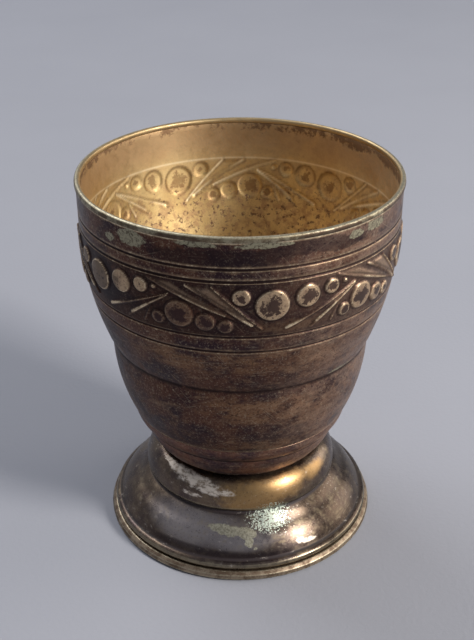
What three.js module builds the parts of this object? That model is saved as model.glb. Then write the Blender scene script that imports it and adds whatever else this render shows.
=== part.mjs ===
// A small communion chalice: a gilt-lined bowl on a low hollow foot.
// Millimetres, +Z up. The origin is the centre of the base, on the surface it stands on.
// Every piece is a body of revolution about Z, and the pieces are soldered in a stack:
// foot wire, foot shell, neck ring, collar ring, bowl, lip wire.

import * as THREE from 'three';

// ---- Heights of the stacked pieces -------------------------------------------------------
const footWireHeight = 1.7;
const footShellHeight = 14.9;
const neckRingHeight = 1.4;
const collarHeight = 8.4;
const bowlHeight = 46.6; // from the collar's upper edge to the seat of the lip wire
const lipWireHeight = 1;

// ---- Radii --------------------------------------------------------------------------------
const mouthRadius = 29.7; // the bowl's outer wall under the lip
const creaseRadius = 25.5; // the bowl's outer wall where the upper part ends
const bowlSeatRadius = 21.4; // the bowl's outer wall at the collar's upper edge
const neckRadius = 15.6;
const baseRadius = 27.3;

// ---- Walls and clearances -----------------------------------------------------------------
const bowlWall = 0.8;
const footWall = 0.9;
const neckWall = 2.6;
const solderGap = 0.1; // between the bowl and the collar that holds it
const lipOverhang = 0.25; // how far the lip wire stands out past the bowl's wall

// ---- Bowl ---------------------------------------------------------------------------------
const straightDepth = 7; // the wall is upright this far below the lip wire
const creaseDepth = 29.8; // the crease, below the lip wire
const wallPower = 2.2; // how late the upper wall turns in
const creaseInset = 0.65; // the step inward at the crease
const creaseHeight = 1.2; // the height that step takes
const turnFullness = 0.6; // how square the bowl turns from its wall to its floor
const lineDepths = [4.8, 7, 17.7, 20.9]; // four rolled lines, below the lip wire
const lineWidth = 0.6;
const lineCut = 0.2;

// ---- Collar -------------------------------------------------------------------------------
const collarLip = 0.35; // thickness of the collar's upper edge
const collarOverhang = 1.5; // how far the collar's foot stands out past the neck
const collarWaistDrop = 3.5; // the groove between its two beads, below its upper edge
const beadSwell = 0.35; // how far each bead stands out past a straight taper
const ledgeWidth = 1.5; // the ledge inside, which the bowl's floor rests on
const ledgeHeight = 2.9;

// ---- Neck ring ----------------------------------------------------------------------------
const neckWaist = 0.25; // how far it draws in at its middle

// ---- Foot ---------------------------------------------------------------------------------
const shoulderReach = 3.8; // how far the shoulder stands out past the neck
const shoulderDrop = 5.4; // the shoulder's widest ring, below the foot's top
const footCreaseInset = 0.5; // the crease under the shoulder
const footCreaseDrop = 6.3;
const ridgeReach = 0.5; // the sharp ridge under that crease, past the shoulder
const ridgeDrop = 7.1;
const bellDrop = 7.6; // the top of the bell's curve
const bellEndRise = 1.9; // the foot of the bell's curve, above the shell's lower edge
const bellInset = 2.1; // that foot, inside the base's edge
const bellFullness = 0.67; // how square the bell's curve is
const flangeInset = 0.9; // the flange's edge, inside the base's edge
const flangeThickness = 0.9;
const footWireWidth = 2.7;
const wireRound = 0.5; // the rounding of the foot wire's edges

// ---- Fineness -----------------------------------------------------------------------------
const turns = 48; // flat sides round every piece
const wallSteps = 8;
const curveSteps = 5;
const crownSteps = 6; // an even number, so that the lip wire has a topmost point

// ---- Levels, from the base up -------------------------------------------------------------
const footShellBase = footWireHeight;
const footShellTop = footShellBase + footShellHeight;
const neckTop = footShellTop + neckRingHeight;
const collarTop = neckTop + collarHeight;
const bowlTop = collarTop + bowlHeight;
const bowlFloor = neckTop + ledgeHeight;

// ---- Radii that follow from those above ---------------------------------------------------
const neckBoreRadius = neckRadius - neckWall;
const bowlFloorRadius = neckBoreRadius + ledgeWidth;
const shoulderRadius = neckRadius + shoulderReach;
const ridgeRadius = shoulderRadius + ridgeReach;
const bellRadius = baseRadius - bellInset;
const flangeRadius = baseRadius - flangeInset;

const point = (radius, height) => new THREE.Vector2(radius, height);

// Points of an elliptical quarter or part of one, both ends included.
function ellipseArc(centreRadius, centreHeight, across, up, fromDegrees, toDegrees, steps) {
  const points = [];
  for (let i = 0; i <= steps; i += 1) {
    const angle = THREE.MathUtils.degToRad(fromDegrees + ((toDegrees - fromDegrees) * i) / steps);
    points.push(point(centreRadius + across * Math.cos(angle), centreHeight + up * Math.sin(angle)));
  }
  return points;
}

// A bead: a straight line from one point to another, swelling outward in the middle.
function bead(from, to, swell, steps) {
  const along = to.clone().sub(from);
  const outward = point(-along.y, along.x).normalize();
  const points = [];
  for (let i = 0; i <= steps; i += 1) {
    const share = i / steps;
    const rise = swell * Math.sin(Math.PI * share);
    points.push(from.clone().addScaledVector(along, share).addScaledVector(outward, rise));
  }
  return points;
}

// The outline moved sideways by a distance, to its right as it is walked.
function offset(points, distance) {
  return points.map((here, i) => {
    const before = points[Math.max(i - 1, 0)];
    const after = points[Math.min(i + 1, points.length - 1)];
    const along = after.clone().sub(before).normalize();
    return point(here.x + along.y * distance, here.y - along.x * distance);
  });
}

// A body of revolution about Z from an outline of radius and height, walked anticlockwise.
function revolve(name, outline, material) {
  const geometry = new THREE.LatheGeometry(outline, turns);
  geometry.rotateX(Math.PI / 2);
  const mesh = new THREE.Mesh(geometry, material);
  mesh.name = name;
  return mesh;
}

const closed = (outline) => [...outline, outline[0].clone()];

// The bowl's outer radius above the crease.
function upperRadius(height) {
  const fall = (bowlTop - straightDepth - height) / (creaseDepth - straightDepth);
  return mouthRadius - (mouthRadius - creaseRadius) * Math.max(fall, 0) ** wallPower;
}

// The bowl's outer wall from the crease down to the collar, and its turn inside the collar to
// the edge of its floor. It steps in by the collar's edge, so that the two stand flush.
function lowerWall() {
  const top = bowlTop - creaseDepth - creaseHeight;
  const across = creaseRadius - creaseInset;
  const reach = Math.acos(bowlSeatRadius / across);
  const up = (top - collarTop) / Math.sin(reach);
  const sweep = THREE.MathUtils.radToDeg(reach);
  const wall = ellipseArc(0, top, across, up, 0, -sweep, wallSteps);
  const start = point(bowlSeatRadius - collarLip - solderGap, collarTop);
  const end = point(bowlFloorRadius, bowlFloor);
  const corner = point(THREE.MathUtils.lerp(end.x, start.x, turnFullness), bowlFloor);
  const turn = new THREE.QuadraticBezierCurve(start, corner, end);
  return { wall, turn: turn.getPoints(curveSteps) };
}

// The bowl's smooth outer outline from the lip seat down to the edge of its floor.
function bowlOutline() {
  const upper = [];
  for (let i = 0; i <= wallSteps; i += 1) {
    const height = bowlTop - straightDepth - ((creaseDepth - straightDepth) * i) / wallSteps;
    upper.push(point(upperRadius(height), height));
  }
  const { wall, turn } = lowerWall();
  return [point(mouthRadius, bowlTop), ...upper, ...wall, ...turn];
}

// The same outline with the rolled lines cut into it.
function outlineWithLines(smooth) {
  const levels = lineDepths.map((depth) => bowlTop - depth);
  const clear = smooth.filter((here) => levels.every((level) => Math.abs(here.y - level) > lineWidth));
  const cuts = levels.flatMap((level) => [
    point(upperRadius(level + lineWidth / 2), level + lineWidth / 2),
    point(upperRadius(level) - lineCut, level),
    point(upperRadius(level - lineWidth / 2), level - lineWidth / 2),
  ]);
  const lowest = Math.min(...levels) - lineWidth;
  const upper = [...clear.filter((here) => here.y > lowest), ...cuts].sort((a, b) => b.y - a.y);
  return [...upper, ...clear.filter((here) => here.y <= lowest)];
}

function makeBowl(material) {
  const smooth = bowlOutline();
  const inner = offset(smooth, bowlWall);
  inner[0].y = bowlTop;
  inner[inner.length - 1].y = bowlFloor + bowlWall;
  const outer = outlineWithLines(smooth).reverse();
  const outline = [point(0, bowlFloor), ...outer, ...inner, point(0, bowlFloor + bowlWall)];
  return revolve('bowl', outline, material);
}

function makeLipWire(material) {
  const outerRadius = mouthRadius + lipOverhang;
  const innerRadius = mouthRadius - bowlWall;
  const halfWidth = (outerRadius - innerRadius) / 2;
  const crown = ellipseArc(innerRadius + halfWidth, bowlTop + lipWireHeight / 2, halfWidth,
    lipWireHeight / 2, 0, 180, crownSteps);
  const outline = [point(innerRadius, bowlTop), point(outerRadius, bowlTop), ...crown];
  return revolve('lip_wire', closed(outline), material);
}

function makeCollar(material) {
  const foot = point(neckRadius + collarOverhang, neckTop);
  const edge = point(bowlSeatRadius, collarTop);
  const waist = edge.clone().lerp(foot, collarWaistDrop / collarHeight);
  const seat = offset(lowerWall().turn, -solderGap);
  seat[0].y = collarTop;
  const ledge = seat[seat.length - 1];
  ledge.y = bowlFloor;
  const upperBead = bead(edge, waist, beadSwell, curveSteps);
  const lowerBead = bead(waist, foot, beadSwell, curveSteps);
  const inside = [point(neckBoreRadius, neckTop), point(neckBoreRadius, bowlFloor), ...seat.reverse()];
  const outline = [...upperBead, ...lowerBead.slice(1), ...inside].reverse();
  return revolve('collar_ring', closed(outline), material);
}

function makeNeckRing(material) {
  const outline = [
    point(neckBoreRadius, footShellTop),
    point(neckRadius, footShellTop),
    point(neckRadius - neckWaist, footShellTop + neckRingHeight / 2),
    point(neckRadius, neckTop),
    point(neckBoreRadius, neckTop),
  ];
  return revolve('neck_ring', closed(outline), material);
}

// The foot's shoulder, outside when inset is 0 and inside when it is the wall.
function footShoulder(inset) {
  const across = shoulderRadius - neckRadius - inset;
  const up = shoulderDrop - inset;
  return ellipseArc(neckRadius, footShellTop - shoulderDrop, across, up, 90, 0, curveSteps);
}

// The outside of the foot's bell, from its top down to the flange.
function footBell() {
  const top = point(ridgeRadius, footShellTop - bellDrop);
  const end = point(bellRadius, footShellBase + bellEndRise);
  const corner = point(
    THREE.MathUtils.lerp(top.x, end.x, bellFullness),
    THREE.MathUtils.lerp(end.y, top.y, bellFullness),
  );
  return new THREE.QuadraticBezierCurve(top, corner, end).getPoints(curveSteps);
}

function makeFootShell(material) {
  const bell = footBell();
  const creaseOuter = point(shoulderRadius - footCreaseInset, footShellTop - footCreaseDrop);
  const creaseInner = point(creaseOuter.x - footWall, creaseOuter.y);
  const flange = ellipseArc(bellRadius, footShellBase + flangeThickness, flangeRadius - bellRadius,
    flangeThickness, 60, -90, curveSteps);
  const outline = [
    point(neckBoreRadius, footShellTop),
    ...footShoulder(0),
    creaseOuter,
    point(ridgeRadius, footShellTop - ridgeDrop),
    ...bell.slice(1),
    ...flange,
    point(baseRadius - footWireWidth, footShellBase),
    ...offset(bell, footWall).reverse(),
    creaseInner,
    ...footShoulder(footWall).reverse(),
    point(neckBoreRadius, footShellTop - footWall),
  ].reverse();
  return revolve('foot_shell', closed(outline), material);
}

function makeFootWire(material) {
  const outline = [
    point(baseRadius - footWireWidth, 0),
    point(baseRadius - wireRound, 0),
    point(baseRadius, wireRound),
    point(baseRadius - wireRound / 2, footWireHeight - wireRound),
    point(flangeRadius, footWireHeight),
    point(baseRadius - footWireWidth, footWireHeight),
  ];
  return revolve('foot_wire', closed(outline), material);
}

const metal = (color, roughness) => new THREE.MeshStandardMaterial({ color, roughness, metalness: 1 });

const chalice = new THREE.Group();
chalice.add(
  makeBowl(metal(0x5a4a42, 0.45)),
  makeLipWire(metal(0xa8a48c, 0.35)),
  makeCollar(metal(0x463a36, 0.45)),
  makeNeckRing(metal(0x3a302c, 0.5)),
  makeFootShell(metal(0x6a5c50, 0.4)),
  makeFootWire(metal(0x7c7258, 0.4)),
);

export default chalice;
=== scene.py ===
"""Looks for a small communion chalice: a tarnished silver bowl, gilt inside, on a hollow foot.

Every visible piece is a fine body of revolution that follows its CAD node's own section, with
the pressed frieze, dents and nicks worked into its surface. Lengths in this file are in
millimetres unless a comment says otherwise. Azimuths are in degrees round the chalice's axis,
from its front (-Y) towards +X. Colours are linear (red, green, blue).
"""

import itertools
import math

import bpy
import numpy as np
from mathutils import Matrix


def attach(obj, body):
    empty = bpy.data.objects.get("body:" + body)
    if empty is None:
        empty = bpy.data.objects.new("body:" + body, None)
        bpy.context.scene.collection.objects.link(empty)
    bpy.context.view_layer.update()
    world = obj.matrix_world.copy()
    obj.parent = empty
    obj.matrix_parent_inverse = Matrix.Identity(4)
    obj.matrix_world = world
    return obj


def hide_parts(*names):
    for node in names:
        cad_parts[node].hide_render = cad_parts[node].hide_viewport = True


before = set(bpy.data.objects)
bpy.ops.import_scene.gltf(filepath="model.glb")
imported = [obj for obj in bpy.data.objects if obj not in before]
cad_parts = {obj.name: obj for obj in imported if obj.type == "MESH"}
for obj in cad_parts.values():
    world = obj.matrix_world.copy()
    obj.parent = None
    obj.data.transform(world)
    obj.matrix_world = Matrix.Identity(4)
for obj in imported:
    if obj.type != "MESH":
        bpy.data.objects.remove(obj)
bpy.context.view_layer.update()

MM = 0.001  # metres
TOUCH = 0.01  # points closer than this are one point

# ---- Camera -------------------------------------------------------------------------------
CAMERA_DISTANCE = 179.7  # in front of the axis
CAMERA_HEIGHT = 142.9  # above the floor
CAMERA_PITCH = -29.16  # degrees
CAMERA_ROLL = 0.18  # degrees
CAMERA_YAW = 0.09  # degrees
CAMERA_LENS = 59.06
CAMERA_SENSOR = 36  # along the picture's longer side
NEAREST_SEEN = 0.01  # metres

# ---- Lights: name, azimuth, elevation, distance and size in metres, watts, colour ---------
LIGHTS = (
    ("key", 60, 32, 0.9, 0.2, 9.0, (1.0, 0.96, 0.91)),
    ("side", 108, 13, 1.0, 0.6, 4.2, (1.0, 0.94, 0.86)),
    ("top", 225, 50, 1.2, 0.7, 7.5, (0.97, 0.97, 1.0)),
)
AIM_HEIGHT = 0.04  # metres: the lights face the axis at this height
SKY_COLOUR = (0.62, 0.66, 0.75)
SKY_STRENGTH = 0.42
FLOOR_HALF = 3.0  # metres

# ---- Fineness -----------------------------------------------------------------------------
STEP = 0.05  # between the points of a fine section
SOFTNESS = 0.08  # how far a section's corners are rounded
CORNER = math.radians(25)  # a section turns a corner where it bends more than this
ROW_TURN = math.radians(16)  # the most that a section bends between two rows
EDGE_BLUR = 0.11  # the width over which a section's bends are averaged
BOWL_COLUMNS = 720
LIP_COLUMNS = 1440
LIP_SPACING = 0.12  # between rows
FOOT_COLUMNS = 1080
FOOT_SPACING = 0.45
MAP_MARGIN = 0.02  # the part of a baking strip left free at its ends

# ---- Frieze -------------------------------------------------------------------------------
# It fills the band between the second and third rolled lines, and is pressed from inside, so
# it stands proud outside and is dished inside. A place in it is (degrees from the group's
# start, share of the band's height from its top).
BAND_TOP = 65.5
BAND_BOTTOM = 56.05
BAND_RADIUS = 29.4
BAND_MARGIN = 0.8  # the fine rows reach this far past the band
RELIEF = 0.42  # how far a disc stands proud
PRESSED = 0.26  # how deep it is dished inside
DISC_EDGE = 0.38  # how wide a disc's rounded edge is
BLADE_EDGE = 0.5  # how wide a blade's is
BLADE_PLATE = 0.35  # how bright a blade's flat is
# Every group has blades and lower discs. Here are each group's start, which of the other parts
# it has, how pale its lower discs are, and how stained the middles of its discs are.
GROUPS = (
    (-31.0, ("leaf", "upper discs"), 0.14, 0.9),
    (33.3, ("leaf", "upper discs"), 0.85, 1.0),
    (98.6, ("leaf", "upper discs"), 0.5, 0.8),
    (165.0, ("leaf", "upper discs"), 0.6, 1.0),
    (231.0, ("leaf",), 0.4, 0.7),
    (264.5, ("upper discs",), 0.6, 0.3),
)
UPPER_PALE = 0.95  # how pale the upper discs are
STAIN_SEED = 5
# Discs: degrees, share, radius.
LEAF_DISC = (3.4, 0.794, 1.23)
LOWER_DISCS = ((10.9, 0.644, 2.51), (19.7, 0.756, 1.70), (26.2, 0.829, 1.29))
UPPER_DISCS = (
    (31.4, 0.232, 1.50),
    (41.4, 0.413, 2.87),
    (53.2, 0.305, 2.12),
    (61.8, 0.225, 1.38),
    (67.0, 0.187, 0.42),
)
# Strokes: start, end, half width at each, brightness at each.
LEAF_STROKES = (
    ((7.5, 0.27), (-9.0, 0.69), (0.06, 0.14), (1.0, 0.4)),
    ((-9.0, 0.69), (-18.0, 0.90), (0.16, 0.34), (0.4, 0.8)),
    ((7.3, 0.30), (-0.5, 0.59), (0.08, 0.20), (1.0, 0.6)),
    ((-0.5, 0.59), (-7.5, 0.87), (0.24, 0.32), (0.8, 0.6)),
    ((-3.5, 0.72), (-9.5, 0.98), (0.14, 0.08), (0.6, 0.3)),
    ((1.0, 0.60), (-2.0, 0.94), (0.05, 0.10), (0.4, 0.7)),
)
BLADE_STROKES = (
    ((0.0, 0.03), (12.0, 0.28), (0.14, 0.20), (0.4, 0.6)),
    ((12.0, 0.28), (26.0, 0.60), (0.20, 0.12), (0.75, 0.85)),
    ((26.0, 0.60), (35.0, 0.80), (0.10, 0.05), (0.3, 0.1)),
    ((13.5, 0.05), (20.0, 0.26), (0.20, 0.10), (0.8, 0.4)),
    ((20.0, 0.26), (27.0, 0.50), (0.10, 0.12), (0.3, 0.3)),
    ((27.0, 0.50), (34.7, 0.80), (0.18, 0.28), (0.55, 0.85)),
    ((22.0, 0.04), (30.0, 0.46), (0.08, 0.12), (0.95, 0.75)),
    ((30.0, 0.46), (38.2, 0.90), (0.12, 0.05), (0.85, 0.75)),
)
# Blades: the corners of a flat facet, anticlockwise as seen from outside, and its height.
BLADES = (
    (((0.0, 0.02), (35.0, 0.80), (8.5, 0.02)), 0.42),
    (((13.5, 0.05), (34.5, 0.80), (38.0, 0.89), (22.0, 0.04)), 0.62),
)


def smooth(value):
    """A smooth step: 0 below 0, 1 above 1."""
    value = np.clip(value, 0, 1)
    return value * value * (3 - 2 * value)


def ramp(value, start, over):
    """0 at the start and 1 after a stretch, which runs downwards if it is negative."""
    return smooth((value - start) / over)


def bump(distance, width):
    """1 at no distance, falling off as a bell."""
    return np.exp(-((distance / width) ** 2))


# ---- Sections, read from the CAD nodes ----------------------------------------------------
def meridian_links(node):
    """The node's points on its front meridian, and which of them an edge joins."""
    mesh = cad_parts[node].data
    places = {}
    same = []
    for vertex in mesh.vertices:
        place = tuple(round(value / MM, 3) for value in vertex.co)
        same.append(places.setdefault(place, len(places)))
    points = np.array(list(places))
    in_front = (np.abs(points[:, 0]) < TOUCH) & (points[:, 1] < TOUCH)
    links = {int(i): set() for i in np.flatnonzero(in_front)}
    for edge in mesh.edges:
        a, b = (same[i] for i in edge.vertices)
        if a != b and a in links and b in links:
            links[a].add(b)
            links[b].add(a)
    # A flat ring's face may have no edge along the meridian, so its two ends are joined here.
    loose = [i for i in links if len(links[i]) == 1 and points[i, 1] < -TOUCH]
    for a, b in itertools.combinations(loose, 2):
        if abs(points[a, 2] - points[b, 2]) < TOUCH:
            links[a].add(b)
            links[b].add(a)
    return points, links


def read_section(node):
    """The node's section as points (radius, height), walked anticlockwise, and if it is closed."""
    points, links = meridian_links(node)
    ends = [i for i in links if len(links[i]) == 1]
    path = [min(ends or links, key=lambda i: (points[i, 2], -points[i, 1]))]
    while True:
        onward = sorted(links[path[-1]] - set(path))
        if not onward:
            break
        path.append(onward[0])
    section = np.stack([-points[path, 1], points[path, 2]], axis=1)
    after = np.roll(section, -1, axis=0)
    area = np.sum(section[:, 0] * after[:, 1] - after[:, 0] * section[:, 1])
    if area < 0:
        section = section[::-1]
    return section, not ends


def blurred(values, width, closed):
    """Values along a section, blurred over a width in millimetres."""
    reach = int(4 * width / STEP) + 1
    kernel = bump(np.arange(-reach, reach + 1) * STEP, width * math.sqrt(2))
    kernel /= kernel.sum()
    padded = np.pad(values, reach, mode="wrap" if closed else "edge")
    return np.convolve(padded, kernel, mode="valid")


def fine_section(section, closed):
    """The section with its round stretches made round again, in short even steps."""
    count = len(section)
    spans = count if closed else count - 1
    chords = np.roll(section, -1, axis=0) - section
    lengths = np.hypot(*chords.T)
    ways = chords / lengths[:, None]
    fine = []
    for i in range(spans):
        onward = (i + 1) % count
        first = tangent(ways, lengths, i - 1, i, closed or i > 0, ways[i])
        last = tangent(ways, lengths, i, onward, closed or onward < count - 1, ways[i])
        steps = max(int(lengths[i] / STEP), 1)
        t = np.arange(steps)[:, None] / steps
        fine.append(
            (2 * t**3 - 3 * t**2 + 1) * section[i]
            + (t**3 - 2 * t**2 + t) * lengths[i] * first
            + (3 * t**2 - 2 * t**3) * section[onward]
            + (t**3 - t**2) * lengths[i] * last
        )
    fine = np.concatenate(fine if closed else fine + [section[-1:]])
    rounded = np.stack([blurred(fine[:, axis], SOFTNESS, closed) for axis in (0, 1)], axis=1)
    if not closed:
        rounded[[0, -1], 0] = 0
    return rounded


def tangent(ways, lengths, before, after, inside, straight):
    """The section's direction at a point between two chords, or one chord's at a corner."""
    cosine = float(np.clip(ways[before] @ ways[after], -1, 1))
    if not inside or math.acos(cosine) > CORNER:
        return straight
    mean = ways[before] * lengths[after] + ways[after] * lengths[before]
    return mean / np.hypot(*mean)


def bends(fine, closed):
    """How much the section turns at each point, positive where the metal's edge is convex."""
    way = np.roll(fine, -1, axis=0) - fine
    heading = np.arctan2(way[:, 1], way[:, 0])
    turn = heading - np.roll(heading, 1)
    turn = (turn + np.pi) % (2 * np.pi) - np.pi
    if not closed:
        turn[[0, -2, -1]] = 0
    return turn


class Rows:
    """The rows of a revolved piece: their radius, height, and how convex the metal is there."""

    def __init__(self, node, spacing, has_all_columns=None):
        section, self.closed = read_section(node)
        fine = fine_section(section, self.closed)
        turn = bends(fine, self.closed)
        cost = STEP / spacing(fine[:, 1]) + np.abs(turn) / ROW_TURN
        reached = np.cumsum(cost)
        count = math.ceil(reached[-1])
        stops = np.linspace(reached[0], reached[-1], count, endpoint=not self.closed)
        edge = blurred(turn / STEP, EDGE_BLUR, self.closed)
        self.radius = np.interp(stops, reached, fine[:, 0])
        self.height = np.interp(stops, reached, fine[:, 1])
        self.edge = np.interp(stops, reached, edge)
        self.along = np.interp(stops, reached, np.arange(len(fine)) / len(fine))
        # Below its topmost point the section is the outer wall on the way up, then the inner.
        self.inner = stops > reached[np.argmax(fine[:, 1])]
        # A row has all the columns, or every second one.
        full = has_all_columns(self.height) if has_all_columns else np.zeros(count, bool)
        self.stride = np.where(full, 1, 2)


# ---- Meshes -------------------------------------------------------------------------------
def face_corners(rows, lower, upper, columns):
    """The corners (row, column) of the faces between two rows, one face to a line."""
    low, high = rows.stride[lower], rows.stride[upper]
    wide = max(low, high)
    start = np.arange(0, columns, wide)
    if rows.radius[lower] < TOUCH:
        corners = ((lower, 0), (upper, wide), (upper, 0))
    elif rows.radius[upper] < TOUCH:
        corners = ((lower, 0), (lower, wide), (upper, 0))
    elif low < high:
        corners = ((lower, 0), (lower, 1), (lower, 2), (upper, 2), (upper, 0))
    elif high < low:
        corners = ((lower, 0), (lower, 2), (upper, 2), (upper, 1), (upper, 0))
    else:
        corners = ((lower, 0), (lower, wide), (upper, wide), (upper, 0))
    row = np.tile([corner[0] for corner in corners], (len(start), 1))
    column = start[:, None] + np.array([corner[1] for corner in corners])
    return row, column


class Surface:
    """All the vertices of a revolved piece, as flat arrays, before it becomes a mesh."""

    def __init__(self, rows, columns):
        self.rows = rows
        self.columns = columns
        counts = np.where(rows.radius < TOUCH, 1, columns // rows.stride)
        self.base = np.concatenate([[0], np.cumsum(counts)[:-1]])
        self.counts = counts
        row = np.repeat(np.arange(len(counts)), counts)
        place = np.arange(counts.sum()) - self.base[row]
        self.azimuth = place * rows.stride[row] * 360 / columns
        self.azimuth = (self.azimuth + 180) % 360 - 180
        self.radius = rows.radius[row].copy()
        self.height = rows.height[row].copy()
        self.inner = rows.inner[row]
        self.edge = rows.edge[row]
        self.paint = {}

    def faces(self, strips):
        """Each face corner's vertex and place on the map for baking, and each face's start."""
        rows = self.rows
        loops, starts, maps = [], [], []
        total = 0
        pairs = len(self.counts) if rows.closed else len(self.counts) - 1
        for lower in range(pairs):
            upper = (lower + 1) % len(self.counts)
            row, column = face_corners(rows, lower, upper, self.columns)
            vertex = self.base[row] + (column % self.columns) // rows.stride[row]
            vertex = np.where(rows.radius[row] < TOUCH, self.base[row], vertex)
            strip = column[:, :1] * strips // self.columns
            # A closed section's last face ends where its first starts: at 1 on the map, not 0.
            along = rows.along[row]
            along = np.where(along < rows.along[lower] - 0.5, 1.0, along)
            loops.append(vertex.ravel())
            starts.append(total + np.arange(len(vertex)) * vertex.shape[1])
            across_map = column * strips / self.columns - strip
            up_map = (strip + MAP_MARGIN + (1 - 2 * MAP_MARGIN) * along) / strips
            maps.append(np.stack([across_map, up_map], axis=-1).reshape(-1, 2))
            total += vertex.size
        return np.concatenate(loops), np.concatenate(maps), np.concatenate(starts)

    def places(self):
        """Where each vertex is, in metres."""
        angle = np.radians(self.azimuth)
        x = self.radius * np.sin(angle)
        y = -self.radius * np.cos(angle)
        return np.stack([x, y, self.height], axis=1) * MM

    def build(self, name, strips=1):
        """The closed mesh, with its paint as attributes and a map for baking."""
        places = self.places()
        loops, maps, starts = self.faces(strips)
        mesh = bpy.data.meshes.new(name)
        mesh.vertices.add(len(places))
        mesh.vertices.foreach_set("co", places.ravel())
        mesh.loops.add(len(loops))
        mesh.loops.foreach_set("vertex_index", loops)
        mesh.polygons.add(len(starts))
        mesh.polygons.foreach_set("loop_start", starts)
        layer = mesh.uv_layers.new(name="OFBake")
        layer.data.foreach_set("uv", maps.ravel())
        for paint, values in self.paint.items():
            attribute = mesh.attributes.new(paint, "FLOAT", "POINT")
            attribute.data.foreach_set("value", values.astype(np.float32))
        mesh.update(calc_edges=True)
        mesh.validate()
        mesh.polygons.foreach_set("use_smooth", np.ones(len(mesh.polygons), bool))
        piece = bpy.data.objects.new(name, mesh)
        bpy.context.scene.collection.objects.link(piece)
        return piece


# ---- Wear shared by all the pieces --------------------------------------------------------
WAVES = 14  # how many random waves make up a dented surface
DENT_SEED = 11
DENT_DEPTH = 0.10
DENT_FULL_RADIUS = 20  # dents fade towards the axis from here
LIT_SIDE_SHEEN = (95, 100, 40)  # painted sheen: the right side made paler, where the side light falls; as `facing` takes it


def waves(azimuth, height, seed, tallest, turns, rise):
    """Smooth random hollows and swellings round a piece, at most about `tallest` deep."""
    draw = np.random.default_rng(seed)
    total = np.zeros_like(azimuth)
    for _ in range(WAVES):
        around = draw.integers(1, turns + 1)
        upward = draw.uniform(-rise, rise)
        phase = draw.uniform(0, 2 * np.pi)
        size = draw.uniform(0.4, 1.0) / math.sqrt(around)
        total += size * np.sin(np.radians(azimuth) * around + height * upward + phase)
    return total * tallest / math.sqrt(WAVES)


def dent(surface):
    """Bends the whole chalice slightly out of true, each piece along with its neighbours."""
    bent = waves(surface.azimuth, surface.height, DENT_SEED, DENT_DEPTH, turns=9, rise=0.12)
    surface.radius += bent * np.minimum(surface.radius / DENT_FULL_RADIUS, 1)


def blot(surface, azimuth, height, half_across, half_along):
    """A patch's field on the outside: 1 at its middle, 0.5 at its edge, 0 well outside it."""
    rows = surface.rows
    outer = ~rows.inner
    nearest = np.argmin(np.abs(rows.height[outer] - height))
    radius = rows.radius[outer][nearest]
    across = (surface.azimuth - azimuth + 180) % 360 - 180
    across = np.radians(across) * np.maximum(surface.radius, 1)
    along = np.hypot(surface.radius - radius, surface.height - height)
    far = (across / half_across) ** 2 + (along / half_along) ** 2
    return np.where(surface.inner, 0, np.clip(1 - 0.5 * far, 0, 1))


def paint_blots(surface, name, blots):
    """An attribute that holds the strongest of several patches at each vertex."""
    field = np.zeros_like(surface.radius)
    for azimuth, height, half_across, half_along in blots:
        field = np.maximum(field, blot(surface, azimuth, height, half_across, half_along))
    surface.paint[name] = field


def facing(azimuth, middle, first, full):
    """0 to 1 round a piece: 0 further than `first` degrees from the middle, 1 within `full`."""
    least, most = np.cos(np.radians([first, full]))
    return smooth((np.cos(np.radians(azimuth - middle)) - least) / (most - least))


def paint_edges(surface, rubbed, least=0.4):
    """Rubbed where the section is convex enough, and dirty where it is concave."""
    surface.paint["wear"] = ramp(surface.edge, least, least + 0.5) * rubbed
    surface.paint["grime"] = ramp(surface.edge, 0, -0.8)


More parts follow.
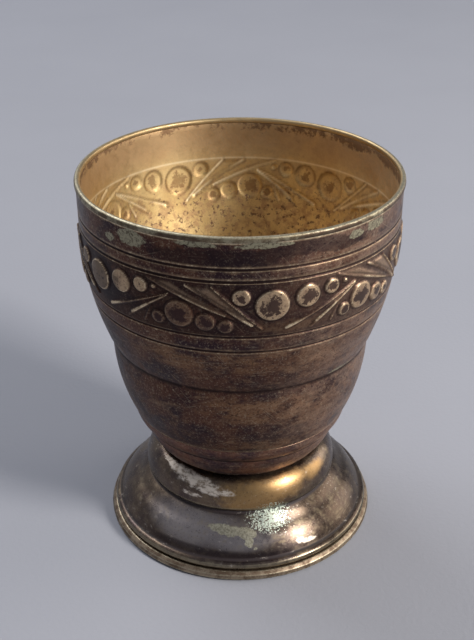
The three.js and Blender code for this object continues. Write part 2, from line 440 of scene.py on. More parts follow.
# ---- Frieze -------------------------------------------------------------------------------
class Relief:
    """The frieze's fields over the vertices: height, and what paint the pattern carries."""

    def __init__(self, azimuth, height):
        self.azimuth = azimuth
        self.down = BAND_TOP - height
        self.height = np.zeros_like(azimuth)
        self.wear = np.zeros_like(azimuth)
        self.grime = np.zeros_like(azimuth)
        self.plate = np.zeros_like(azimuth)
        self.core = np.zeros_like(azimuth)
        self.line = np.zeros_like(azimuth)

    def at(self, start, place):
        """How far each vertex is across and down from a place in a group."""
        degrees, share = place
        turn = (self.azimuth - start + 180) % 360 - 180
        across = np.radians(turn - degrees) * BAND_RADIUS
        return across, self.down - share * (BAND_TOP - BAND_BOTTOM)

    def disc(self, start, disc, pale, stain):
        """A slightly domed disc with a rubbed rim and a dark middle."""
        degrees, share, radius = disc
        across, down = self.at(start, (degrees, share))
        far = np.hypot(across, down)
        inside = smooth((radius - far) / DISC_EDGE + 0.5)
        dome = 0.84 + 0.16 * (1 - np.minimum(far / radius, 1) ** 2)
        self.height = np.maximum(self.height, inside * dome)
        rim = bump(far - radius + 0.22, 0.13)
        self.wear = np.maximum(self.wear, rim * (0.40 + 0.45 * pale))
        self.grime = np.maximum(self.grime, bump(far - radius - 0.24, 0.24))
        self.plate = np.maximum(self.plate, smooth((radius - far) / 0.2) * pale)
        core = stain * np.clip(1 - far / radius, 0, 1)
        self.core = np.maximum(self.core, core)

    def stroke(self, start, stroke):
        """A rubbed ridge along a line, with its own width and brightness at each end."""
        begin, end, widths, brightness = stroke
        across, down = self.at(start, begin)
        length_across = math.radians(end[0] - begin[0]) * BAND_RADIUS
        length_down = (end[1] - begin[1]) * (BAND_TOP - BAND_BOTTOM)
        length = math.hypot(length_across, length_down)
        share = (across * length_across + down * length_down) / length**2
        share = np.clip(share, 0, 1)
        far = np.hypot(across - share * length_across, down - share * length_down)
        width = widths[0] + (widths[1] - widths[0]) * share
        bright = brightness[0] + (brightness[1] - brightness[0]) * share
        ridge = np.clip(1 - (far / (width + 0.12)) ** 2, 0, 1)
        self.height = np.maximum(self.height, ridge * (0.55 + 0.35 * bright))
        self.wear = np.maximum(self.wear, bright * smooth((width + 0.10 - far) / 0.22))
        self.grime = np.maximum(self.grime, 0.8 * bump(far - width - 0.3, 0.25))
        # Inside, a painted highlight along the ridge.
        self.line = np.maximum(self.line, smooth(bright * 1.6 - 0.5) * bump(far, 0.2))

    def blade(self, start, blade):
        """A flat raised facet with soft edges."""
        corners, tall = blade
        inside = np.full_like(self.azimuth, 99.0)
        for begin, end in zip(corners, corners[1:] + corners[:1]):
            across, down = self.at(start, begin)
            way_across = math.radians(end[0] - begin[0]) * BAND_RADIUS
            way_down = (end[1] - begin[1]) * (BAND_TOP - BAND_BOTTOM)
            length = math.hypot(way_across, way_down)
            inside = np.minimum(inside, (across * way_down - down * way_across) / length)
        shape = smooth(inside / BLADE_EDGE)
        self.height = np.maximum(self.height, shape * tall)
        self.plate = np.maximum(self.plate, BLADE_PLATE * shape)


def frieze(azimuth, height):
    """The whole frieze's fields, from its groups of leaves, blades and discs."""
    relief = Relief(azimuth, height)
    draw = np.random.default_rng(STAIN_SEED)
    for start, parts, pale, stain in GROUPS:
        if "leaf" in parts:
            relief.disc(start, LEAF_DISC, pale, stain * draw.uniform(0.6, 1.1))
            for stroke in LEAF_STROKES:
                relief.stroke(start, stroke)
        for blade in BLADES:
            relief.blade(start, blade)
        for stroke in BLADE_STROKES:
            relief.stroke(start, stroke)
        for disc in LOWER_DISCS:
            relief.disc(start, disc, pale, stain * draw.uniform(0.6, 1.1))
        if "upper discs" in parts:
            for disc in UPPER_DISCS:
                relief.disc(start, disc, UPPER_PALE, stain * draw.uniform(0.7, 1.2))
    return relief


# ---- Shader building ----------------------------------------------------------------------
QUARTER_TURN = 0.25


class Material:
    """A material whose node tree is written as calls that hand back sockets."""

    def __init__(self, name):
        self.material = bpy.data.materials.new(name)
        self.material.use_nodes = True
        self.tree = self.material.node_tree
        self.shader = self.tree.nodes["Principled BSDF"]
        place = self.node("ShaderNodeTexCoord").outputs["Object"]
        scale = self.node("ShaderNodeVectorMath", {0: place, "Scale": 1 / MM}, operation="SCALE")
        self.place = scale.outputs[0]  # in millimetres

    def node(self, kind, inputs=None, **settings):
        node = self.tree.nodes.new(kind)
        for name, value in settings.items():
            setattr(node, name, value)
        for name, value in (inputs or {}).items():
            self.feed(node.inputs[name], value)
        return node

    def feed(self, socket, value):
        if isinstance(value, bpy.types.NodeSocket):
            self.tree.links.new(value, socket)
        else:
            socket.default_value = value

    def attribute(self, name):
        return self.node("ShaderNodeAttribute", attribute_name=name).outputs["Fac"]

    def math(self, operation, a, b):
        return self.node("ShaderNodeMath", {0: a, 1: b}, operation=operation).outputs[0]

    def add(self, a, b):
        return self.math("ADD", a, b)

    def times(self, a, b):
        return self.math("MULTIPLY", a, b)

    def step(self, value, low, high):
        """A smooth step of the value from low to high."""
        inputs = {"Value": value, "From Min": low, "From Max": high}
        node = self.node("ShaderNodeMapRange", inputs, interpolation_type="SMOOTHSTEP")
        return node.outputs["Result"]

    def stretched(self, flat, tall, shift=0.0):
        """The place, stretched so that patterns run round the piece, as turning marks do."""
        inputs = {"Vector": self.place, "Scale": (flat, flat, tall), "Location": (shift,) * 3}
        return self.node("ShaderNodeMapping", inputs).outputs[0]

    def noise(self, size, detail, roughness=0.55, vector=None, shift=0.0):
        """Noise from 0 to 1 about 0.5, whose largest lumps are `size` millimetres."""
        if vector is None:
            vector = self.stretched(1.0, 1.0, shift)
        inputs = {"Vector": vector, "Scale": 1 / size, "Detail": detail, "Roughness": roughness}
        return self.node("ShaderNodeTexNoise", inputs).outputs["Fac"]

    def scratches(self, slant, shift):
        """Sparse hairlines, slanted by an angle from the horizontal."""
        turn = (0, math.radians(slant), 0)
        inputs = {"Vector": self.place, "Rotation": turn, "Location": (shift,) * 3}
        turned = self.node("ShaderNodeMapping", inputs).outputs[0]
        inputs = {"Vector": turned, "Scale": (0.12, 0.12, 5.0)}
        stretched = self.node("ShaderNodeMapping", inputs).outputs[0]
        return self.step(self.noise(1.0, detail=1.0, vector=stretched), 0.70, 0.75)

    def swing(self, noise, amount):
        """Noise moved so that it goes as far below 0 as above, half the amount each way."""
        return self.times(self.add(noise, -0.5), amount)

    def mix(self, share, a, b):
        """A colour that goes from a to b."""
        node = self.node("ShaderNodeMix", data_type="RGBA")
        for index, value in ((0, share), (6, a), (7, b)):
            self.feed(node.inputs[index], value if index == 0 else colour(value))
        return node.outputs[2]

    def coat(self, base, share, most, over):
        """The base with a colour laid over it, hiding `most` of it where the share is 1."""
        return self.mix(self.times(share, most), base, over)

    def blend(self, share, a, b):
        """A plain number that goes from a to b."""
        node = self.node("ShaderNodeMix", {0: share, 2: a, 3: b}, data_type="FLOAT")
        return node.outputs[0]

    def ragged(self, name, noise, spread, soft):
        """A painted patch whose edge is broken up by noise."""
        field = self.add(self.attribute(name), self.swing(noise, spread))
        return self.step(field, 0.5 - soft, 0.5 + soft)

    def finish(self, base, rough, metal, height, distance=0.03, turned=0.0):
        """Feeds the shader. The height's unit is `distance` millimetres.

        A turned surface spreads its highlights across its turning marks, up and down.
        """
        self.feed(self.shader.inputs["Base Color"], base)
        self.feed(self.shader.inputs["Roughness"], rough)
        self.feed(self.shader.inputs["Metallic"], metal)
        inputs = {"Height": height, "Distance": distance * MM, "Strength": 1.0}
        normal = self.node("ShaderNodeBump", inputs).outputs[0]
        self.feed(self.shader.inputs["Normal"], normal)
        if turned:
            round_axis = self.node("ShaderNodeTangent", direction_type="RADIAL", axis="Z")
            self.feed(self.shader.inputs["Tangent"], round_axis.outputs[0])
            self.shader.inputs["Anisotropic"].default_value = turned
            self.shader.inputs["Anisotropic Rotation"].default_value = QUARTER_TURN
        return self.material


def colour(value):
    """A colour given as (red, green, blue) gets its fourth number."""
    return value if isinstance(value, bpy.types.NodeSocket) else (*value, 1.0)


# ---- Materials ----------------------------------------------------------------------------
TARNISH = {
    "violet": (0.038, 0.020, 0.024),
    "brown": (0.105, 0.046, 0.030),
    "khaki film": (0.240, 0.146, 0.086),
    "warm": (0.210, 0.112, 0.060),
    "streaks": (0.265, 0.165, 0.098),
    # The colour of the painted sheen on the right side, where the side light falls.
    "lit_side_sheen": (0.290, 0.182, 0.128),
    "pale grit": (0.330, 0.270, 0.190),
    "dark grit": (0.020, 0.013, 0.013),
    "scratches": (0.420, 0.330, 0.230),
    "flecks": (0.480, 0.380, 0.270),
    "plate": (0.560, 0.400, 0.250),
    "stain": (0.040, 0.021, 0.022),
    "grime": (0.017, 0.007, 0.006),
    "dark": (0.022, 0.014, 0.016),
    "rubbed": (0.340, 0.240, 0.150),
    "bright": (0.820, 0.670, 0.450),
    "bare, dull": (0.130, 0.105, 0.072),
    "bare, pale": (0.350, 0.320, 0.215),
}
GILT = {
    "deep": (0.590, 0.420, 0.190),
    "pale": (0.730, 0.555, 0.275),
    "upper": (0.450, 0.300, 0.170),
    "grit": (0.380, 0.250, 0.140),
    "rose": (0.430, 0.260, 0.150),
    "spots": (0.130, 0.062, 0.042),
    "grime": (0.200, 0.110, 0.050),
    "stain": (0.220, 0.115, 0.050),
    "rim": (0.150, 0.080, 0.045),
    "lines": (0.980, 0.860, 0.600),
}
WIRE = {
    "lip, pale": (0.320, 0.280, 0.190),
    "lip, film": (0.130, 0.096, 0.060),
    "foot, pale": (0.310, 0.240, 0.170),
    "foot, film": (0.130, 0.088, 0.060),
    "dark grit": (0.080, 0.055, 0.040),
    "grime": (0.030, 0.021, 0.018),
    "dark": (0.080, 0.050, 0.036),
    "rubbed": (0.580, 0.530, 0.380),
    "gilded": (0.460, 0.330, 0.170),
}
FOOT = {
    "deep": (0.085, 0.062, 0.056),
    "brown": (0.150, 0.108, 0.076),
    "sky_reflection": (0.350, 0.310, 0.305),
    "umber_shade": (0.052, 0.034, 0.024),
    "film": (0.280, 0.225, 0.145),
    "gold": (0.400, 0.240, 0.095),
    "dark grit": (0.030, 0.021, 0.019),
    "pale grit": (0.420, 0.370, 0.270),
    "grime": (0.020, 0.014, 0.013),
    "dark": (0.032, 0.022, 0.024),
    "rubbed": (0.330, 0.280, 0.190),
    "bright": (0.660, 0.600, 0.460),
    "bare, dull": (0.260, 0.195, 0.140),
    "bare, pale": (0.800, 0.710, 0.610),
    "frost, dull": (0.280, 0.262, 0.195),
    "frost, pale": (0.480, 0.460, 0.350),
    "glints": (0.620, 0.690, 0.580),
}
FLOOR_DEEP = (0.300, 0.308, 0.345)
FLOOR_PALE = (0.325, 0.333, 0.370)


def hairlines(m):
    """Sparse hairlines that run three ways."""
    crossing = m.math("MAXIMUM", m.scratches(25, 3.0), m.scratches(-50, 19.0))
    return m.math("MAXIMUM", crossing, m.scratches(4, 47.0))


def tarnish(m, tone, mottle, grit, lathe):
    """The tarnish itself, in layers from the lowest up."""
    clouds = m.noise(7.0, detail=5.0, roughness=0.6)
    streaks = m.noise(2.4, detail=6.0, roughness=0.7, vector=m.stretched(0.35, 1.0, 13.0))
    fine = m.noise(0.35, detail=1.0, shift=29.0)

    def toned(part):
        return tuple(tone * value for value in TARNISH[part])

    base = m.mix(m.step(clouds, 0.38, 0.62), toned("violet"), toned("brown"))
    film = m.times(m.step(mottle, 0.48, 0.70), m.step(lathe, 0.35, 0.62))
    base = m.coat(base, film, 0.5, toned("khaki film"))
    warm = m.times(m.ragged("warm", clouds, 0.9, 0.3), m.step(streaks, 0.35, 0.60))
    base = m.mix(warm, base, TARNISH["warm"])
    base = m.coat(base, m.step(streaks, 0.56, 0.70), 0.5, TARNISH["streaks"])
    # Painted sheen: the tarnish made paler on the right side, where the side light falls.
    lit_side_sheen = m.times(m.attribute("lit_side_sheen"), m.step(streaks, 0.30, 0.62))
    base = m.coat(base, lit_side_sheen, 0.8, TARNISH["lit_side_sheen"])
    base = m.coat(base, m.step(grit, 0.54, 0.66), 0.45, TARNISH["pale grit"])
    base = m.coat(base, m.step(grit, 0.47, 0.34), 0.7, TARNISH["dark grit"])
    base = m.coat(base, hairlines(m), 0.28, TARNISH["scratches"])
    return m.coat(base, m.step(fine, 0.66, 0.74), 0.4, TARNISH["flecks"])


def tarnished_silver(name="tarnished_silver", tone=1.0):
    """Silver under a brown and violet tarnish, rubbed pale on its raised parts."""
    m = Material(name)
    mottle = m.noise(1.6, detail=5.0, roughness=0.65, shift=31.0)
    grit = m.noise(0.45, detail=4.0, roughness=0.7, shift=57.0)
    lathe = m.noise(1.0, detail=4.0, roughness=0.6, vector=m.stretched(0.05, 2.6))
    blotch = m.noise(1.3, detail=6.0, roughness=0.75, shift=91.0)
    base = tarnish(m, tone, mottle, grit, lathe)

    # What the frieze's discs and blades carry.
    plate = m.times(m.attribute("plate"), m.step(blotch, 0.25, 0.52))
    base = m.coat(base, plate, 0.9, TARNISH["plate"])
    stain = m.step(m.add(m.attribute("core"), m.swing(blotch, 2.2)), 0.27, 0.41)
    base = m.coat(base, stain, 0.9, TARNISH["stain"])

    # Dirt, wear and bare patches.
    grime = m.times(m.attribute("grime"), m.step(mottle, 0.22, 0.45))
    base = m.coat(base, grime, 0.95, TARNISH["grime"])
    dark = m.ragged("dark", mottle, 1.0, 0.12)
    base = m.coat(base, dark, 0.65, TARNISH["dark"])
    wear = m.attribute("wear")
    rubbed = m.step(m.add(wear, m.swing(mottle, 0.6)), 0.14, 0.64)
    base = m.coat(base, rubbed, 0.85, TARNISH["rubbed"])
    broken = m.add(m.swing(grit, 1.2), m.swing(mottle, 0.9))
    bright = m.step(m.add(wear, broken), 0.45, 0.90)
    base = m.coat(base, bright, 0.9, TARNISH["bright"])
    bare = m.ragged("bare", mottle, 0.9, 0.05)
    shade = m.mix(m.step(grit, 0.38, 0.54), TARNISH["bare, dull"], TARNISH["bare, pale"])
    base = m.coat(base, bare, 0.95, shade)

    rough = m.blend(m.step(mottle, 0.3, 0.7), 0.34, 0.50)
    rough = m.blend(m.times(bright, 0.7), rough, 0.28)
    rough = m.blend(grime, rough, 0.55)
    metal = m.blend(grime, 0.95, 0.8)
    height = m.add(m.times(mottle, 0.6), m.times(grit, 0.45))
    height = m.add(height, m.times(lathe, 0.5))
    height = m.add(height, m.times(bare, -0.5))
    return m.finish(base, rough, metal, height, turned=0.6)


def gilt():
    """A satin gold wash, pitted and specked brown, and more so lower down."""
    m = Material("gilt")
    clouds = m.noise(9.0, detail=4.0, roughness=0.55, shift=11.0)
    mottle = m.noise(1.8, detail=5.0, roughness=0.68, shift=43.0)
    grit = m.noise(0.5, detail=3.0, roughness=0.7, shift=71.0)
    flecks = m.noise(1.0, detail=6.0, roughness=0.66, shift=97.0)
    lumps = m.swing(mottle, 1.3)
    pitted = m.attribute("pitted")

    base = m.mix(m.step(clouds, 0.35, 0.65), GILT["deep"], GILT["pale"])
    base = m.coat(base, m.attribute("upper"), 0.8, GILT["upper"])
    base = m.coat(base, m.step(grit, 0.50, 0.68), 0.25, GILT["grit"])
    rose = m.times(m.step(mottle, 0.46, 0.60), pitted)
    base = m.coat(base, rose, 0.55, GILT["rose"])
    spots = m.step(m.add(m.times(pitted, 0.36), m.swing(flecks, 1.5)), 0.40, 0.58)
    base = m.coat(base, spots, 0.85, GILT["spots"])
    grime = m.times(m.attribute("grime"), m.step(mottle, 0.30, 0.60))
    base = m.coat(base, grime, 0.6, GILT["grime"])
    stain = m.step(m.add(m.attribute("core"), m.times(lumps, 1.5)), 0.36, 0.58)
    base = m.coat(base, stain, 0.6, GILT["stain"])
    patches = m.add(m.times(lumps, 1.5), m.swing(clouds, 1.8))
    patches = m.add(patches, m.swing(grit, 1.0))
    rim = m.step(m.add(m.attribute("rim"), patches), 0.62, 1.02)
    base = m.coat(base, rim, 0.75, GILT["rim"])
    # Inside, the bright lines are painted highlights along the frieze's ridges and upper border.
    base = m.coat(base, m.attribute("wear"), 0.75, GILT["lines"])

    rough = m.blend(m.step(mottle, 0.3, 0.7), 0.52, 0.66)
    rough = m.blend(spots, rough, 0.6)
    metal = m.blend(spots, 1.0, 0.6)
    height = m.add(m.times(mottle, 0.8), m.times(grit, 0.5))
    height = m.add(height, m.times(spots, -0.4))
    return m.finish(base, rough, metal, height, distance=0.035, turned=0.5)


def worn_silver(name, pale, film):
    """Pale rubbed silver, with an olive film and dark dirt in the hollows."""
    m = Material(name)
    mottle = m.noise(2.2, detail=5.0, roughness=0.68, shift=5.0)
    grit = m.noise(0.4, detail=3.0, roughness=0.7, shift=23.0)

    base = m.mix(m.step(mottle, 0.38, 0.60), pale, film)
    base = m.coat(base, m.step(grit, 0.54, 0.66), 0.6, WIRE["dark grit"])
    base = m.coat(base, m.attribute("grime"), 0.9, WIRE["grime"])
    base = m.coat(base, m.ragged("dark", mottle, 0.9, 0.08), 0.75, WIRE["dark"])
    rubbed = m.step(m.add(m.attribute("wear"), m.swing(grit, 0.8)), 0.40, 0.90)
    base = m.coat(base, rubbed, 0.8, WIRE["rubbed"])
    base = m.coat(base, m.attribute("gilded"), 0.9, WIRE["gilded"])

    rough = m.blend(m.step(mottle, 0.3, 0.7), 0.38, 0.56)
    height = m.add(m.times(mottle, 0.9), m.times(grit, 0.4))
    return m.finish(base, rough, 0.95, height)


def part_polished(m, gold, grime, clouds, mottle, grit, lathe):
    """The foot's tarnish, its part-polished stretches, a painted sky reflection, painted shade,
    dirt and wear, from the lowest up.
    """
    base = m.mix(m.step(clouds, 0.38, 0.62), FOOT["deep"], FOOT["brown"])
    # Painted reflection: a pale bluish grey patch on the bell's left stands in for the sky's
    # reflection.
    base = m.coat(base, m.ragged("sky_reflection", clouds, 0.8, 0.5), 0.85, FOOT["sky_reflection"])
    # Painted shade: the foot's right side darkened below the ridge, holding back the side light's
    # reflection.
    base = m.coat(base, m.attribute("umber_shade"), 0.75, FOOT["umber_shade"])
    film = m.times(m.step(mottle, 0.48, 0.68), m.step(lathe, 0.35, 0.62))
    base = m.coat(base, film, 0.5, FOOT["film"])
    base = m.coat(base, gold, 0.75, FOOT["gold"])
    base = m.coat(base, m.step(grit, 0.44, 0.30), 0.6, FOOT["dark grit"])
    base = m.coat(base, m.step(grit, 0.58, 0.70), 0.35, FOOT["pale grit"])
    base = m.coat(base, grime, 0.9, FOOT["grime"])
    # Dark patches, mostly painted shade along the bell's foot.
    base = m.coat(base, m.ragged("dark", clouds, 0.8, 0.25), 0.7, FOOT["dark"])
    wear = m.attribute("wear")
    rubbed = m.step(m.add(wear, m.swing(mottle, 0.6)), 0.10, 0.60)
    base = m.coat(base, rubbed, 0.7, FOOT["rubbed"])
    bright = m.step(m.add(wear, m.swing(grit, 1.0)), 0.50, 0.95)
    return m.coat(base, bright, 0.9, FOOT["bright"])


def foot_silver():
    """Tarnished silver that has been polished in part, with bare, gold and pale patches, a painted
    highlight on the bell and painted glints.
    """
    m = Material("foot_silver")
    clouds = m.noise(8.0, detail=5.0, roughness=0.6, shift=17.0)
    mottle = m.noise(1.7, detail=5.0, roughness=0.68, shift=37.0)
    grit = m.noise(0.4, detail=4.0, roughness=0.7, shift=61.0)
    lathe = m.noise(1.0, detail=4.0, roughness=0.6, vector=m.stretched(0.05, 2.2))
    gold = m.ragged("gold", mottle, 0.9, 0.4)
    grime = m.times(m.attribute("grime"), m.step(mottle, 0.22, 0.45))
    base = part_polished(m, gold, grime, clouds, mottle, grit, lathe)

    # Bare, frosted and glinting patches; the bare ones on the bell are also a painted highlight,
    # and the glints are painted.
    smear = m.noise(0.9, detail=6.0, roughness=0.7, vector=m.stretched(0.6, 1.2, 7.0))
    flakes = m.noise(0.9, detail=6.0, roughness=0.7, shift=53.0)
    sparks = m.noise(0.30, detail=2.0, roughness=0.6, shift=83.0)
    # On the bell the bare patch is also a painted highlight.
    bare = m.ragged("bare", smear, 2.4, 0.30)
    shade = m.mix(m.step(smear, 0.36, 0.58), FOOT["bare, dull"], FOOT["bare, pale"])
    base = m.coat(base, bare, 0.9, shade)
    frost = m.ragged("frost", flakes, 1.6, 0.06)
    shade = m.mix(m.step(grit, 0.40, 0.60), FOOT["frost, dull"], FOOT["frost, pale"])
    base = m.coat(base, frost, 0.85, shade)
    # Painted glints, in specks within their patch.
    near = m.attribute("glints")
    glints = m.step(m.add(sparks, m.times(near, 0.28)), 0.66, 0.76)
    glints = m.times(glints, m.step(near, 0.0, 0.15))
    base = m.coat(base, glints, 0.9, FOOT["glints"])

    rough = m.blend(m.step(mottle, 0.3, 0.7), 0.24, 0.38)
    rough = m.blend(m.times(gold, 0.7), rough, 0.38)
    rough = m.blend(m.math("MAXIMUM", frost, bare), rough, 0.55)
    rough = m.blend(grime, rough, 0.7)
    metal = m.blend(grime, 0.95, 0.3)
    height = m.add(m.times(mottle, 0.6), m.times(grit, 0.4))
    height = m.add(height, m.times(lathe, 0.5))
    height = m.add(height, m.times(glints, 0.8))
    return m.finish(base, rough, metal, height, turned=0.4)


def floor_finish():
    """A plain pale floor with the faintest unevenness."""
    m = Material("floor")
    base = m.mix(m.noise(60.0, detail=2.0), FLOOR_DEEP, FLOOR_PALE)
    return m.finish(base, 0.85, 0.0, m.noise(1.0, detail=2.0), distance=0.05)


# ---- Pieces -------------------------------------------------------------------------------
# Patches: azimuth, height, half width, half height.
BOWL_BARE = (
    (-37, 71.3, 3.2, 1.4),
    (-47, 70.0, 1.3, 0.9),
    (-14, 72.6, 4.0, 0.35),
    (8, 72.5, 5.0, 0.45),
    (40, 71.4, 1.8, 0.9),
    (50, 71.8, 3.2, 0.8),
    (30, 42.9, 4.0, 0.35),
    (45, 42.6, 3.0, 0.4),
)
BOWL_DARK = (
    (-8, 70.0, 12.0, 1.6),
    (20, 71.5, 8.0, 1.3),
    (35, 70.6, 5.0, 1.2),
    (-60, 62.0, 9.0, 5.0),
)
BOWL_WARM = (
    (-10, 49.5, 12.0, 3.0),
    (22, 49.0, 9.0, 3.0),
    (5, 37.5, 9.0, 3.0),
    (30, 36.0, 8.0, 3.5),
    (10, 28.5, 9.0, 1.5),
    (18, 57.3, 7.0, 1.2),
    (38, 69.0, 7.0, 1.5),
)
# Bare worn patches on the shoulder; the last two, on the bell, are a worn spot that is also a
# painted highlight.
FOOT_BARE_AND_HIGHLIGHT = (
    (-53, 16.2, 2.6, 0.5),
    (-40, 15.9, 3.6, 1.0),
    (-28, 15.3, 3.8, 1.1),
    (-16, 14.6, 3.6, 0.8),
    (-30, 13.0, 2.0, 0.4),
    (29, 5.2, 0.9, 0.6),
    (33, 4.7, 1.6, 0.35),
)
FOOT_GOLD = (
    (14, 14.2, 8.5, 2.8),
    (34, 15.4, 5.0, 1.8),
    (52, 14.8, 3.6, 1.5),
    (8, 12.0, 6.0, 1.4),
)
FOOT_FROST = (
    (-10, 8.1, 2.6, 0.9),
    (-5, 7.8, 3.2, 1.0),
    (0, 7.7, 2.4, 0.9),
    (4, 7.3, 1.6, 0.8),
    (4, 6.3, 0.9, 0.9),
    (7, 5.4, 0.4, 0.3),
)
# Painted glints: a speckled hot spot of reflected light on the upper bell.
FOOT_GLINTS = ((17, 9.2, 4.0, 2.5),)
# Painted reflection of the sky, on the bell's left.
FOOT_SKY_REFLECTION = (
    (-24, 7.6, 10.0, 3.4),
    (-2, 6.5, 7.0, 2.0),
)
# Dark patches: the first two are painted shade along the bell's foot, where it meets the flange;
# the third darkens a thin band across the front at 10 mm.
FOOT_DARK = (
    (-20, 4.2, 12.0, 1.1),
    (5, 3.8, 10.0, 1.0),
    (0, 10.2, 20.0, 0.6),
)
LIP_DARK = (
    (30, 73.4, 6, 0.5),
    (-20, 73.3, 4, 0.4),
    (70, 73.5, 9, 0.5),
)
BOWL_RUBBED = 0.78  # how far the bowl's edges are rubbed
BOWL_RUBBED_FROM = 0.8  # how convex an edge has to be for that
GROUND_GRIME = 0.6  # how dirty the frieze's ground is
BORDER_GLINT = 0.7  # how bright the painted highlight along the frieze's upper border is inside
LIP_CROWN = 73.4  # the lip wire is rubbed above this height
LIP_SEAM = 73.12  # and dirty below this one
LIP_INSIDE = 29.45  # it is gilt within this radius
LIP_TURNS = 60  # the most waves round the lip wire
LIP_SEEDS = (3, 4)  # for its waves up and down, and in and out
LIP_NICKS = (0.05, 0.04)  # how deep those are
RIDGE = 12  # the painted shade on the foot's right side fades out up to this height
SHADED_SIDE = (100, 85, 45)  # painted shade on this side, as `facing` takes it


def set_down(piece, node):
    """Puts a finished piece in its CAD node's place."""
    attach(piece, "root")
    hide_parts(node)
    return piece


def in_band(height):
    return (height > BAND_BOTTOM - BAND_MARGIN) & (height < BAND_TOP + BAND_MARGIN)


def bowl_spacing(height):
    """Rows close together in the frieze, and not quite so close on its inner side."""
    inner = np.arange(len(height)) > np.argmax(height)
    band = np.where(inner, 0.32, 0.20)
    plain = np.where(inner, 1.6, 1.1)
    return np.where(in_band(height), band, plain)


def paint_frieze(surface, relief):
    """The frieze's wear, dirt and stains. Inside, only painted highlights along its ridges and
    upper border are bright.
    """
    paint, inner = surface.paint, surface.inner
    inside = in_band(surface.height)
    wear = np.where(inside, relief.wear, 0)
    ground = np.clip(1 - relief.height * 2, 0, 1) * GROUND_GRIME * ~inner
    grime = np.where(inside, np.maximum(relief.grime, ground) * (1 - relief.wear), 0)
    # Painted highlights inside: along the ridges and the band's upper border.
    border = BORDER_GLINT * bump(surface.height - BAND_TOP, 0.2)
    line = np.where(inside, relief.line, 0) + border
    paint["wear"] = np.where(inner, line, np.maximum(paint["wear"], wear))
    paint["grime"] = np.maximum(paint["grime"], grime)
    paint["plate"] = relief.plate * inside
    paint["core"] = relief.core * inside


def gild_inside(bowl, surface):
    """Gives the faces past the mouth's edge the bowl's second material."""
    mouth = surface.rows.inner.argmax()
    first = surface.base[mouth]
    side = [int(min(face.vertices) >= first) for face in bowl.data.polygons]
    bowl.data.polygons.foreach_set("material_index", side)


def make_bowl():
    surface = Surface(Rows("bowl", bowl_spacing, in_band), BOWL_COLUMNS)
    relief = frieze(surface.azimuth, surface.height)
    surface.radius += relief.height * np.where(surface.inner, PRESSED, RELIEF)
    dent(surface)
    paint_edges(surface, BOWL_RUBBED, BOWL_RUBBED_FROM)
    paint_frieze(surface, relief)
    # Painted sheen on the right side, where the side light falls.
    surface.paint["lit_side_sheen"] = facing(surface.azimuth, *LIT_SIDE_SHEEN) * ~surface.inner
    surface.paint["upper"] = ramp(surface.height, 62, 8)
    surface.paint["pitted"] = 0.2 + 0.8 * ramp(surface.height, 68, -14)
    surface.paint["rim"] = ramp(surface.height, 69.6, 3.2)
    paint_blots(surface, "bare", BOWL_BARE)
    paint_blots(surface, "dark", BOWL_DARK)
    paint_blots(surface, "warm", BOWL_WARM)
    bowl = surface.build("bowl_fine")
    bowl.data.materials.append(tarnished_silver())
    bowl.data.materials.append(gilt())
    gild_inside(bowl, surface)
    return set_down(bowl, "bowl")


def plain_spacing(wanted):
    """Rows the same distance apart all over a piece."""
    return lambda height: np.full_like(height, wanted)


def make_lip_wire():
    surface = Surface(Rows("lip_wire", plain_spacing(LIP_SPACING)), LIP_COLUMNS)
    (up_seed, out_seed), (up, out) = LIP_SEEDS, LIP_NICKS
    surface.height += waves(surface.azimuth, surface.radius, up_seed, up, LIP_TURNS, rise=0.1)
    surface.radius += waves(surface.azimuth, surface.height, out_seed, out, LIP_TURNS, rise=0.1)
    dent(surface)
    surface.paint["wear"] = ramp(surface.height, LIP_CROWN, 0.5) * 0.7
    surface.paint["grime"] = ramp(surface.height, LIP_SEAM, -0.15) * 0.6
    surface.paint["gilded"] = ramp(surface.radius, LIP_INSIDE, -0.3)
    paint_blots(surface, "dark", LIP_DARK)
    piece = surface.build("lip_wire_fine", strips=12)
    piece.data.materials.append(worn_silver("worn_silver", WIRE["lip, pale"], WIRE["lip, film"]))
    return set_down(piece, "lip_wire")


def make_ring(node, spacing, columns, strips, material, rubbed):
    """A ring that carries no patches: its material reads them all as nothing."""
    surface = Surface(Rows(node, plain_spacing(spacing)), columns)
    dent(surface)
    paint_edges(surface, rubbed)
    # Painted sheen on the right side, where the side light falls.
    surface.paint["lit_side_sheen"] = facing(surface.azimuth, *LIT_SIDE_SHEEN)
    for name in ("plate", "core", "bare", "dark", "warm", "gilded"):
        surface.paint[name] = np.zeros_like(surface.radius)
    piece = surface.build(node + "_fine", strips=strips)
    piece.data.materials.append(material)
    return piece


def make_foot_shell():
    surface = Surface(Rows("foot_shell", plain_spacing(FOOT_SPACING)), FOOT_COLUMNS)
    dent(surface)
    paint_edges(surface, rubbed=0.45)
    below_ridge = ramp(surface.height, RIDGE, -2)
    # Painted shade on the foot's right side, below the ridge.
    surface.paint["umber_shade"] = facing(surface.azimuth, *SHADED_SIDE) * below_ridge
    paint_blots(surface, "bare", FOOT_BARE_AND_HIGHLIGHT)
    paint_blots(surface, "gold", FOOT_GOLD)
    paint_blots(surface, "frost", FOOT_FROST)
    paint_blots(surface, "glints", FOOT_GLINTS)
    paint_blots(surface, "sky_reflection", FOOT_SKY_REFLECTION)
    paint_blots(surface, "dark", FOOT_DARK)
    piece = surface.build("foot_shell_fine", strips=3)
    piece.data.materials.append(foot_silver())
    return set_down(piece, "foot_shell")


# ---- Stage --------------------------------------------------------------------------------
def make_floor():
    half = FLOOR_HALF
    mesh = bpy.data.meshes.new("floor")
    corners = [(-half, -half, 0), (half, -half, 0), (half, half, 0), (-half, half, 0)]
    mesh.from_pydata(corners, [], [(0, 1, 2, 3)])
    mesh.materials.append(floor_finish())
    floor = bpy.data.objects.new("floor", mesh)
    bpy.context.scene.collection.objects.link(floor)


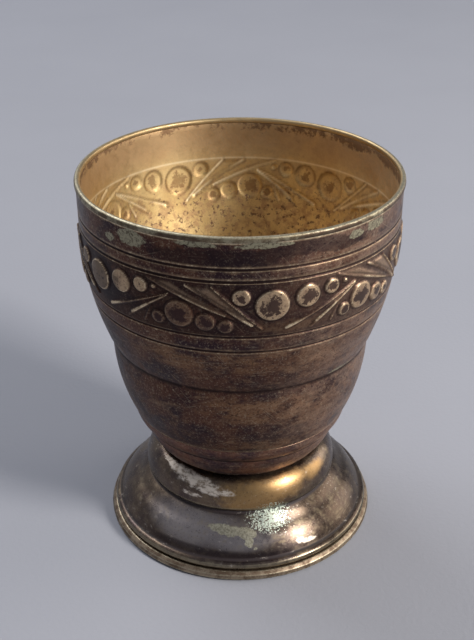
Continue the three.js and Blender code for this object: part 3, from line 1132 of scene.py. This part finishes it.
def make_camera():
    data = bpy.data.cameras.new("camera")
    data.lens = CAMERA_LENS
    data.sensor_width = CAMERA_SENSOR
    data.clip_start = NEAREST_SEEN
    camera = bpy.data.objects.new("camera", data)
    camera.location = (0, -CAMERA_DISTANCE * MM, CAMERA_HEIGHT * MM)
    camera.rotation_mode = "XYZ"
    camera.rotation_euler = (
        math.radians(90 + CAMERA_PITCH),
        math.radians(CAMERA_ROLL),
        math.radians(CAMERA_YAW),
    )
    bpy.context.scene.collection.objects.link(camera)
    bpy.context.scene.camera = camera


def make_light(name, azimuth, elevation, distance, size, watts, tint):
    """A square soft box that faces the middle of the chalice. Its distances are in metres."""
    data = bpy.data.lights.new(name, "AREA")
    data.size = size
    data.energy = watts
    data.color = tint
    light = bpy.data.objects.new(name, data)
    turn, rise = math.radians(azimuth), math.radians(elevation)
    light.location = (
        distance * math.cos(rise) * math.sin(turn),
        -distance * math.cos(rise) * math.cos(turn),
        distance * math.sin(rise) + AIM_HEIGHT,
    )
    light.rotation_euler = (math.pi / 2 - rise, 0, turn)
    bpy.context.scene.collection.objects.link(light)


def make_lights():
    for light in LIGHTS:
        make_light(*light)
    world = bpy.data.worlds.new("world")
    world.use_nodes = True
    background = world.node_tree.nodes["Background"]
    background.inputs["Color"].default_value = colour(SKY_COLOUR)
    background.inputs["Strength"].default_value = SKY_STRENGTH
    bpy.context.scene.world = world
    bpy.context.scene.view_settings.view_transform = "Standard"


make_camera()
make_floor()
make_lights()
make_bowl()
make_lip_wire()
# The collar's tarnish is painted brighter (tone 1.8), lifting the shade it sits in under the bowl.
collar = make_ring(
    "collar_ring",
    spacing=0.25,
    columns=720,
    strips=3,
    material=tarnished_silver("collar_silver_lifted", tone=1.8),
    rubbed=0.25,
)
set_down(collar, "collar_ring")
# The neck's tarnish is painted darker (tone 0.8): painted shade in the gap between collar and
# foot.
neck = make_ring(
    "neck_ring",
    spacing=0.25,
    columns=480,
    strips=4,
    material=tarnished_silver("neck_silver_shaded", tone=0.8),
    rubbed=0.3,
)
set_down(neck, "neck_ring")
make_foot_shell()
foot_wire = make_ring(
    "foot_wire",
    spacing=0.2,
    columns=720,
    strips=6,
    material=worn_silver("wire_silver", WIRE["foot, pale"], WIRE["foot, film"]),
    rubbed=0.6,
)
set_down(foot_wire, "foot_wire")
